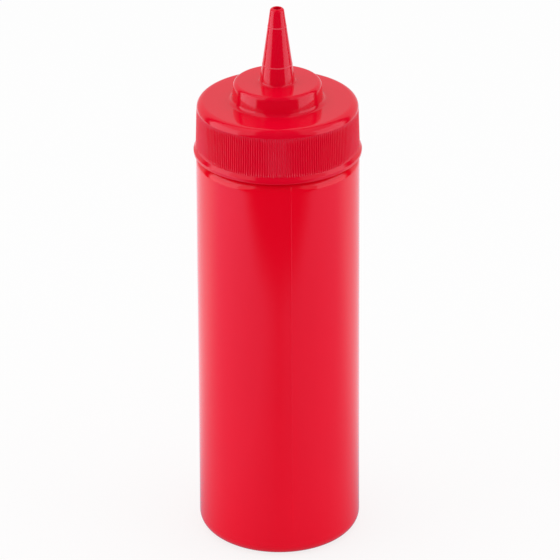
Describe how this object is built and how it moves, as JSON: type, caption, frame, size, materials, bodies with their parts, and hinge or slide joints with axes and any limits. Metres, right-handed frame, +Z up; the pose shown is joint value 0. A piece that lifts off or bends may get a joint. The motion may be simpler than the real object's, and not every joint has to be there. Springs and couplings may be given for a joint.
{
  "type": "cone tip squeeze bottle",
  "caption": "Upright round squeeze bottle for sauces, with a ribbed screw cap that carries a tall cone tip and a small dispensing hole.",
  "frame": {"origin": "centre of the base, on the plane it stands on", "axes": "+Z up along the bottle's axis, towards the tip; the bottle is round, so X and Y are free"},
  "size_m": [0.0588, 0.0588, 0.2002],
  "materials": {
    "bottle_red": "glossy, slightly translucent moulded polyethylene, red",
    "cap_red": "glossy moulded polyethylene, red, ribbed on the skirt"
  },
  "bodies": {
    "root": {"bottle": "bottle_red", "cap": "cap_red"}
  },
  "joints": []
}
